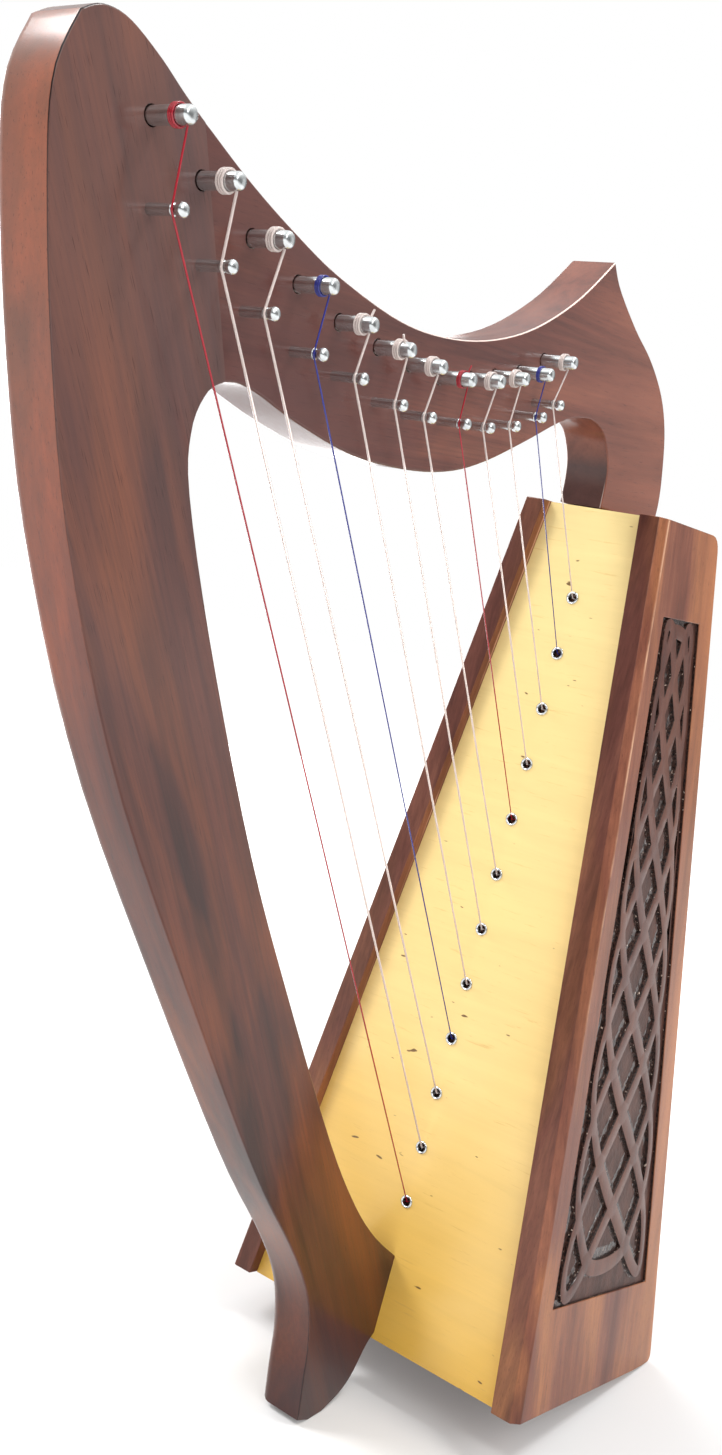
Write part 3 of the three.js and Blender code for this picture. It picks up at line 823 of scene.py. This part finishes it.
# Loops that join two strands beyond the last crossings: (strand, strand, row, reach in rows).
END_LOOPS = (
    (0, 5, 0, -0.7), (1, 4, 0, -0.3), (3, 2, 0, -0.95),
    (1, 2, LAST_ROW, 0.2), (0, 3, LAST_ROW, 0.1), (4, 5, LAST_ROW, 0.4),
)


def side_plane():
    """A point and the normal of the near side panel's outer face."""
    mesh = frame["nodes"]["near_side"].data
    outward = [p for p in mesh.polygons if p.normal.y < -0.9 and p.area > 100 * MM * MM]
    face = max(outward, key=lambda p: p.center.dot(p.normal))
    return face.center.copy(), face.normal.copy()


PLANE_POINT, PLANE_NORMAL = side_plane()


def face_y(x, z):
    """Where the near side panel's outer face lies at (x, z)."""
    n = PLANE_NORMAL
    return PLANE_POINT.y - ((x - PLANE_POINT.x) * n.x + (z - PLANE_POINT.z) * n.z) / n.y


def on_side(t, s, depth=0.0):
    """The point (t, s) on the near side panel, depth millimetres under its outer face."""
    point = in_box(t, s)
    point.y = face_y(point.x, point.z) + depth * MM
    return point


def row_height(row):
    return ROW_START + ROW_STEP * row - ROW_SHRINK * row * row


def knot_edges(t):
    """s of the plait's front and back edge lines at height t."""
    return FRONT_LINE[0] + FRONT_LINE[1] * t, BACK_LINE[0] + BACK_LINE[1] * t


def knot_place(row, side):
    """(t, s) of a place in the plait. side goes from -1 at its front to 1 at its back."""
    t = row_height(row)
    front, back = knot_edges(t)
    return Vector((t, (front + back) / 2 + side * (back - front) / 2))


def strand_side(strand, row):
    return -math.cos(math.pi * (row - 2 * strand) / STRANDS)


def strand_slope(strand, row):
    return math.pi / STRANDS * math.sin(math.pi * (row - 2 * strand) / STRANDS)


def end_loop(first, second, row, reach, steps=18):
    """Joins two strands beyond the last crossing. A negative reach goes down."""
    start = Vector((row, strand_side(first, row)))
    end = Vector((row, strand_side(second, row)))
    leave = start + Vector((reach, reach * strand_slope(first, row)))
    arrive = end + Vector((reach, reach * strand_slope(second, row)))
    path = []
    for i in range(steps + 1):
        u = i / steps
        point = start * (1 - u) ** 3 + leave * 3 * u * (1 - u) ** 2
        point += arrive * 3 * u * u * (1 - u) + end * u ** 3
        path.append(knot_place(*point))
    return path


def knot_paths():
    steps = LAST_ROW * STEPS_PER_ROW
    rows = [LAST_ROW * i / steps for i in range(steps + 1)]
    strands = [[knot_place(row, strand_side(k, row)) for row in rows] for k in range(STRANDS)]
    return strands + [end_loop(*ends) for ends in END_LOOPS]


def ribbon_half_width(t, s):
    """Half the ribbon's width at (t, s). It swells towards the middle of the panel."""
    front, back = knot_edges(t)
    side = (2 * s - front - back) / (back - front)
    share = (t - row_height(0)) / (row_height(LAST_ROW) - row_height(0))
    return (RIBBON_MIDDLE - RIBBON_EDGE_LOSS * side ** 2) * (1 - RIBBON_TOP_LOSS * share) / 2


def under_ribbon(places, margin=0.0):
    """Which of the places (t, s) lie under a ribbon, made wider by a margin."""
    paths = knot_paths()
    starts = np.array([a for path in paths for a in path[:-1]])
    ends = np.array([b for path in paths for b in path[1:]])
    half = ribbon_half_width(starts[:, 0], starts[:, 1]) + margin
    along = ends - starts
    offset = np.array(places)[:, None, :] - starts
    share = np.clip((offset * along).sum(2) / (along ** 2).sum(1), 0, 1)
    gap = offset - share[:, :, None] * along
    return ((gap ** 2).sum(2) < half ** 2).any(1)


def ribbon_outlines():
    """The edges of the area that the ribbons cover, as (t, s) loops."""
    points = []
    edges = []
    for path in knot_paths():
        first = len(points)
        for i, place in enumerate(path):
            along = (path[min(i + 1, len(path) - 1)] - path[max(i - 1, 0)]).normalized()
            half = Vector((-along.y, along.x)) * ribbon_half_width(place.x, place.y)
            points += [place - half, place + half]
        edges += [(first + i, first + i + 2) for i in range(2 * len(path) - 2)]
    verts, _, faces, _, _, _ = delaunay_2d_cdt(points, edges, [], 0, 0.001)
    middles = [middle_of([verts[i] for i in face]) for face in faces]
    directed = set()
    for face, covered in zip(faces, under_ribbon(middles)):
        if covered:
            directed.update(zip(face, face[1:] + face[:1]))
    loops = [thinned([verts[i] for i in loop], 0.4) for loop in chained(directed)]
    return [loop for loop in loops if len(loop) > 2]


def knotwork_mesh():
    """The flush ribbons with rounded edges and walls down to the ground."""
    loops = ribbon_outlines()
    steps = (
        (0.0, POCKET_DEPTH + 0.1), (0.0, RIBBON_SINK + RIBBON_ROUND),
        (RIBBON_ROUND * 0.3, RIBBON_SINK + RIBBON_ROUND * 0.3), (RIBBON_ROUND, RIBBON_SINK),
    )
    solid = bmesh.new()
    tops, top_rings = [], []
    for loop in loops:
        rings = []
        for inset, depth in steps:
            places = stepped_in(loop, [inset] * len(loop))
            rings.append([solid.verts.new(on_side(place.x, place.y, depth)) for place in places])
        walled(solid, rings)
        tops.append(places)
        top_rings.append(rings[-1])
    filled(solid, tops, top_rings, lambda place: on_side(place.x, place.y, RIBBON_SINK))
    mesh = finished(solid, "near_knotwork", 40)
    if max(mesh.polygons, key=lambda p: p.area).normal.y > 0:
        mesh.flip_normals()
    mesh.materials.append(materials["knot"])
    mesh.materials.append(materials["ground"])
    for polygon in mesh.polygons:
        polygon.material_index = int(abs(polygon.normal.y) < 0.5)
    mark_punched(mesh, [1.0] * len(mesh.vertices))
    return mesh


def mark_punched(mesh, shares):
    mesh.attributes.new("punched", "FLOAT", "POINT").data.foreach_set("value", shares)


def pocket_corners():
    """(t, s) of the four corners of the pocket's floor, in order round it."""
    mesh = frame["nodes"]["near_side"].data
    found = []
    for vert in mesh.vertices:
        depth = (vert.co.y - face_y(vert.co.x, vert.co.z)) / MM
        if abs(depth - POCKET_DEPTH) < 0.1:
            place = Vector(box_place(vert.co))
            if all((place - other).length > 1 for other in found):
                found.append(place)
    centre = middle_of(found)
    return sorted(found, key=lambda p: math.atan2(p.y - centre.y, p.x - centre.x))


GROUND_ROWS = 280
GROUND_COLUMNS = 90
PUNCH_SHIFT = Vector((-2.5, 2.0))
PUNCH_MARGIN = 2.5
PUNCHED_EDGE = 2.0
DIMPLE_SCALE = 0.42
DEEP_DIMPLE = 0.5
SHALLOW_DIMPLE = 0.12
GROUND_LIFT = 0.4


def ground_mesh():
    """The ground, a grid over the pocket's floor, punched beside and below the ribbons."""
    a, b, c, d = pocket_corners()
    rows, columns = GROUND_ROWS, GROUND_COLUMNS
    places = [
        a.lerp(b, u / rows).lerp(d.lerp(c, u / rows), v / columns)
        for u in range(rows + 1) for v in range(columns + 1)
    ]
    punched = under_ribbon([place + PUNCH_SHIFT for place in places], PUNCH_MARGIN)
    punched |= np.array([place.y < knot_edges(place.x)[0] + PUNCHED_EDGE for place in places])
    grid = []
    for place, rough in zip(places, punched):
        dimple = noise.noise(Vector((place.x, place.y, 0)) * DIMPLE_SCALE)
        dimple *= DEEP_DIMPLE if rough else SHALLOW_DIMPLE
        grid.append(on_side(place.x, place.y, POCKET_DEPTH - GROUND_LIFT - dimple))
    faces = []
    for i in range(rows):
        for j in range(columns):
            k = i * (columns + 1) + j
            faces.append((k, k + 1, k + columns + 2, k + columns + 1))
    mesh = bpy.data.meshes.new("near_ground")
    mesh.from_pydata(grid, [], faces)
    mesh.materials.append(materials["ground"])
    mark_punched(mesh, [float(rough) for rough in punched])
    mesh.shade_smooth()
    if mesh.polygons[0].normal.y > 0:
        mesh.flip_normals()
    return mesh


def darkened_pocket(piece):
    """Gives the pocket of a side panel the carving's ground."""
    mesh = piece.data
    mesh.materials.append(materials["ground"])
    for polygon in mesh.polygons:
        depth = abs(face_y(polygon.center.x, polygon.center.z)) - abs(polygon.center.y)
        t, s = box_place(polygon.center)
        inside = POCKET_T[0] < t < POCKET_T[1] and POCKET_S[0] < s < POCKET_S[1]
        if inside and 0.5 * MM < depth < (POCKET_DEPTH + 0.2) * MM:
            polygon.material_index = 1
    mark_punched(mesh, [1.0] * len(mesh.vertices))


def mirrored(mesh, name):
    copy = mesh.copy()
    copy.name = name
    copy.transform(Matrix.Scale(-1, 4, Vector((0, 1, 0))))
    copy.flip_normals()
    return copy


for name, mesh in (("knotwork", knotwork_mesh()), ("punched_ground", ground_mesh())):
    far_mesh = mirrored(mesh, "far_" + name)
    new_piece("near_" + name, mesh, None)
    new_piece("far_" + name, far_mesh, None)
for side_panel in side_panels:
    darkened_pocket(side_panel)

# ---- Pins ----

TOWARDS_FAR = Vector((0, 1, 0))
TOWARDS_RIGHT = Vector((1, 0, 0))
PIN_RADIUS = 2.8
PIN_SEGMENTS = 40
DRIVE_SIDE = 4.0
DRIVE_LENGTH = 12.0
BRIDGE_RADIUS = 1.8
COLLAR_RADIUS = 2.0
GROOVE_RADIUS = 1.45
GROOVE_FROM_TIP = 4.2
HEAD_RADIUS = 2.3

joints = {joint["child"]: joint for joint in frame["joints"]}


def pin_axis(number):
    """The tuning pin's axis at y = 0."""
    x, _, z = joints["pin_" + number]["pos_m"]
    return Vector((x, 0, z))


def bridge_axis(number):
    low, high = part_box("bridge_pin_" + number)
    return Vector(((low.x + high.x) / 2, 0, (low.z + high.z) / 2))


def squarish(angle):
    """Radius of a square with rounded corners round its middle, for a half side of 1."""
    return min(1 / max(abs(math.cos(angle)), abs(math.sin(angle))), 1.28)


def plated(name, mesh, node, body="root"):
    """A nickel-plated piece in place of a CAD node."""
    new_piece(name, mesh, materials["nickel"], body, (node,))


def tuning_pin(number):
    """A round shank with an eased near end and a square drive end on the far side."""
    tip, end = span_y("tuning_pin_" + number)
    start = pin_axis(number)
    shoulder = end - DRIVE_LENGTH
    profile = list(reversed(rounded_end(PIN_RADIUS - 0.35, tip + 0.9, tip)))
    profile += [
        (PIN_RADIUS - 0.12, tip + 1.1), (PIN_RADIUS, tip + 1.5), (PIN_RADIUS, shoulder - 1.2),
        (PIN_RADIUS - 0.3, shoulder - 0.4),
    ]

    def section(radius, y, shape=None):
        centre = start + TOWARDS_FAR * (y * MM)
        return ring(centre, TOWARDS_FAR, TOWARDS_RIGHT, radius * MM, PIN_SEGMENTS, shape)

    half = DRIVE_SIDE / 2
    drive = ((1.0, shoulder + 0.3), (1.0, end - 0.8), (0.96, end - 0.3), (0.8, end))
    rings = [section(radius, y) for radius, y in profile]
    rings += [section(half * share, y, squarish) for share, y in drive]
    plated("turned_pin_" + number, lofted(rings), "tuning_pin_" + number, "pin_" + number)


def groove_y(number):
    return span_y("bridge_pin_" + number)[0] + GROOVE_FROM_TIP


def bridge_pin(number):
    """A domed head, a groove for the string, a collar and a shank."""
    tip, root = span_y("bridge_pin_" + number)
    groove = groove_y(number)
    profile = list(reversed(rounded_end(HEAD_RADIUS, tip + 1.5, tip)))
    profile += [
        (HEAD_RADIUS, tip + 1.7), (HEAD_RADIUS - 0.15, groove - 1.2),
        (GROOVE_RADIUS, groove - 0.7), (GROOVE_RADIUS, groove + 0.5),
        (COLLAR_RADIUS, groove + 0.95), (COLLAR_RADIUS, groove + 1.5),
        (BRIDGE_RADIUS, groove + 1.8), (BRIDGE_RADIUS, root),
    ]
    mesh = turned(profile, bridge_axis(number), TOWARDS_FAR)
    plated("grooved_pin_" + number, mesh, "bridge_pin_" + number)


# (radius, distance behind the soundboard's face) round the section of an eyelet.
EYELET_SECTION = (
    (2.1, 2.9), (2.1, -0.3), (2.25, -0.6), (2.6, -0.78), (2.95, -0.68), (3.18, -0.4),
    (3.2, -0.1), (2.5, -0.1), (2.5, 2.9),
)


def eyelet_height(number):
    """t of an eyelet on the soundboard."""
    low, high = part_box("eyelet_" + number)
    return box_place((low + high) / 2)[0]


def eyelet(number):
    """A rolled rim over a sleeve through the soundboard."""
    centre = in_box(eyelet_height(number), 0)
    mesh = turned(EYELET_SECTION, centre, BOARD_BACK, closed=True, sharp=40)
    plated("rolled_eyelet_" + number, mesh, "eyelet_" + number)


# ---- Strings ----

BASS_RADIUS = 0.5
TREBLE_RADIUS = 0.35
COIL_TURNS = 3
COIL_SETBACK = -0.4
COIL_GAP = 0.06
COIL_STEPS = 28  # points per turn
BEND_STEPS = 8  # steps round a bridge pin
RIB_BACK = 9.3
KNOT_STEPS = 32
KNOT_SWEEP = 5.2
STRING_COLOURS = {"01": "red", "04": "blue", "08": "red", "11": "blue"}
DYED_SHARE = 0.68
CLIPPED_TAILS = {"05": 75, "06": 130, "08": 80}  # how each tail leans, in degrees
TAIL_PATH = ((0.6, 0.0), (1.1, 0.0), (1.6, 0.1), (2.1, 0.3))  # (share of the pin's radius, drift)


def string_radius(number):
    share = (int(number) - 1) / (STRING_COUNT - 1)
    radius = BASS_RADIUS + (TREBLE_RADIUS - BASS_RADIUS) * share
    return radius * DYED_SHARE if number in STRING_COLOURS else radius


def round_point(centre, radius, angle, y):
    x = centre.x + radius * MM * math.cos(angle)
    return Vector((x, y * MM, centre.z + radius * MM * math.sin(angle)))


def knot_behind_rib(t, s, radius):
    """A small overhand knot that stops the string behind the rib."""
    points = []
    for i in range(KNOT_STEPS + 1):
        angle = KNOT_SWEEP * (i / KNOT_STEPS - 0.5)
        rise = math.sin(angle) + 2 * math.sin(2 * angle)
        across = math.cos(angle) - 2 * math.cos(2 * angle)
        back = 2 * radius - math.sin(3 * angle) * radius * 1.3
        points.append(in_box(t + rise * radius * 1.1, s + back, across * radius * 1.1))
    return points


def string_path(number):
    """From the knot through the eyelet, round the bridge pin and onto the tuning pin."""
    radius = string_radius(number)
    t = eyelet_height(number)
    start = in_box(t, 0)
    bridge = bridge_axis(number)
    pin = pin_axis(number)
    groove = groove_y(number)
    bridge_radius = GROOVE_RADIUS + radius + 0.15
    coil_radius = PIN_RADIUS + radius + 0.12

    def direction(a, b):
        return math.atan2(b.z - a.z, b.x - a.x), math.hypot(b.x - a.x, b.z - a.z) / MM

    angle, length = direction(start, bridge)
    to_bridge = angle + math.asin(bridge_radius / length)
    angle, length = direction(bridge, pin)
    to_pin = angle - math.asin((bridge_radius + coil_radius) / length)
    points = knot_behind_rib(t, RIB_BACK, radius) + [in_box(t, RIB_BACK - 1.0), start]
    for i in range(BEND_STEPS + 1):
        bend = to_bridge + (to_pin - to_bridge) * i / BEND_STEPS
        points.append(round_point(bridge, bridge_radius, bend + math.pi / 2, groove))
    pitch = 2 * radius + COIL_GAP
    for i in range(COIL_TURNS * COIL_STEPS + 1):
        turn = i / COIL_STEPS
        y = groove + COIL_SETBACK + turn * pitch
        points.append(round_point(pin, coil_radius, to_pin - math.pi / 2 + turn * 2 * math.pi, y))
    return points


def cord(number, points, name, body="root", replaces=()):
    """A piece of a string's nylon through points."""
    colour = STRING_COLOURS.get(number, "clear")
    radius = string_radius(number) * MM
    tube(points, radius, name, materials[colour], body, replaces)


def clipped_tail(number, lean):
    """The clipped end of a string where it leaves the hole in its tuning pin."""
    angle = math.radians(lean)
    y = groove_y(number) + COIL_SETBACK - 2 * string_radius(number) - 0.2
    path = [
        round_point(pin_axis(number), PIN_RADIUS * share, angle, y - drift)
        for share, drift in TAIL_PATH
    ]
    cord(number, path, "string_tail_" + number, "pin_" + number)


for number in NUMBERS:
    tuning_pin(number)
    bridge_pin(number)
    eyelet(number)
    cord(number, string_path(number), "strung_" + number, replaces=("string_" + number,))
for number, lean in CLIPPED_TAILS.items():
    clipped_tail(number, lean)

for node in ("pillar_screw", "neck_screw"):
    holder = frame["nodes"][node]
    holder.data.materials.clear()
    holder.data.materials.append(materials["steel"])

# ---- Stage ----

FLOOR_REACH = 8.0
FLOOR_GLOW = 0.12
FAR_GLOW = 0.4
GLOW_DISTANCES = (350, 1500)


def floor():
    """A pale floor that brightens into the white background with distance."""
    mesh = bpy.data.meshes.new("floor")
    corners = ((-1, -1), (1, -1), (1, 1), (-1, 1))
    places = [(x * FLOOR_REACH, y * FLOOR_REACH, 0) for x, y in corners]
    mesh.from_pydata(places, [], [(0, 1, 2, 3)])
    shader = Shader("pale_floor")
    tone = shader.noise(shader.place(), (0.002, 0.002, 0.002), 2)
    length = shader.add("VectorMath", {"operation": "LENGTH"}, Vector=shader.place())
    glow = shader.ranged(length.outputs["Value"], *GLOW_DISTANCES, FAR_GLOW)
    mesh.materials.append(shader.surface(
        Base_Color=shader.ramp(tone, (0.3, 0.64), (0.7, 0.66)),
        Roughness=0.8,
        Specular_IOR_Level=0.0,
        Emission_Color=(1, 1, 1),
        Emission_Strength=shader.plus(glow, FLOOR_GLOW),
    ))
    in_scene("floor", mesh)


HARP_MIDDLE = (0.05, 0, 0.3)

# Soft lights: name, place, target, width and height in metres, power in watts.
LIGHTS = (
    ("key_light", (-0.9, -1.6, 1.5), HARP_MIDDLE, 1.2, 1.2, 12),
    ("side_light", (1.9, -1.4, 0.7), HARP_MIDDLE, 1.4, 1.6, 4),
    ("top_light", (-0.9, 1.2, 1.9), (-0.2, 0, 0.5), 0.6, 0.6, 32),
    ("back_light", (1.3, 1.9, 0.6), HARP_MIDDLE, 1.6, 1.6, 50),
    ("overhead_light", (0.15, -0.5, 1.7), (0.0, 0, 0.5), 0.35, 0.35, 10),
)


def soft_light(name, place, target, width, height, power):
    data = bpy.data.lights.new(name, "AREA")
    data.shape = "RECTANGLE"
    data.size, data.size_y, data.energy = width, height, power
    light = in_scene(name, data)
    light.location = place
    light.rotation_euler = (Vector(target) - Vector(place)).to_track_quat("-Z", "Y").to_euler()


# What reflections see of the room: (start, end, bright, dark) of the direction's y and z.
ROOM_BEHIND = (0.5, 0.9, 1.3, 0.2)
ROOM_ABOVE = (0.3, 0.7, 1.2, 0.2)
BACKDROP_WHITE = (1, 1, 1)
ROOM_WHITE = (1.0, 0.99, 0.98)


def studio():
    """A white backdrop for the camera, even soft light, and a shaded room for reflections."""
    shader = Shader("studio", bpy.data.worlds)
    bpy.context.scene.world = shader.owner

    def mixed(factor, first, second):
        return shader.add("MixShader", None, (factor, first, second)).outputs[0]

    direction = shader.add("TexCoord").outputs["Generated"]
    behind = shader.ranged(shader.along(ALONG_Y, direction), *ROOM_BEHIND)
    above = shader.ranged(shader.along(UPWARDS, direction), *ROOM_ABOVE)
    backdrop, lighting, room = (
        shader.add("Background", Color=colour, Strength=strength).outputs[0]
        for colour, strength in (
            (BACKDROP_WHITE, 1.0), (ROOM_WHITE, 1.0),
            (ROOM_WHITE, shader.maths("MAXIMUM", behind, above)),
        )
    )
    ray = shader.add("LightPath").outputs
    unseen = mixed(ray["Is Glossy Ray"], lighting, room)
    shader.add("OutputWorld", Surface=mixed(ray["Is Camera Ray"], unseen, backdrop))
    for light in LIGHTS:
        soft_light(*light)


SENSOR = 36.0
LENS = 34.5254
CAMERA_PLACE = (-0.49861, -0.31474, 0.38499)
CAMERA_TURN = (303.365, 6.359, 12.1)  # azimuth, elevation and roll in degrees
CAMERA_SHIFT = (-0.0119, 0.0187)


def camera():
    """The camera stands low on the pillar's side and is rolled by twelve degrees."""
    azimuth, elevation, roll = (math.radians(angle) for angle in CAMERA_TURN)
    flat = math.cos(elevation)
    back = Vector((math.sin(azimuth) * flat, -math.cos(azimuth) * flat, math.sin(elevation)))
    level = Vector((0, 0, 1)).cross(back).normalized()
    above = back.cross(level)
    right = level * math.cos(roll) + above * math.sin(roll)
    up = back.cross(right)
    data = bpy.data.cameras.new("camera")
    data.sensor_width = SENSOR
    data.lens = LENS
    data.shift_x, data.shift_y = CAMERA_SHIFT
    data.clip_start = 0.01
    body = in_scene("camera", data)
    turn = Matrix((right, up, back)).transposed().to_4x4()
    body.matrix_world = Matrix.Translation(CAMERA_PLACE) @ turn
    bpy.context.scene.camera = body


floor()
studio()
camera()
bpy.context.scene.view_settings.view_transform = "Standard"
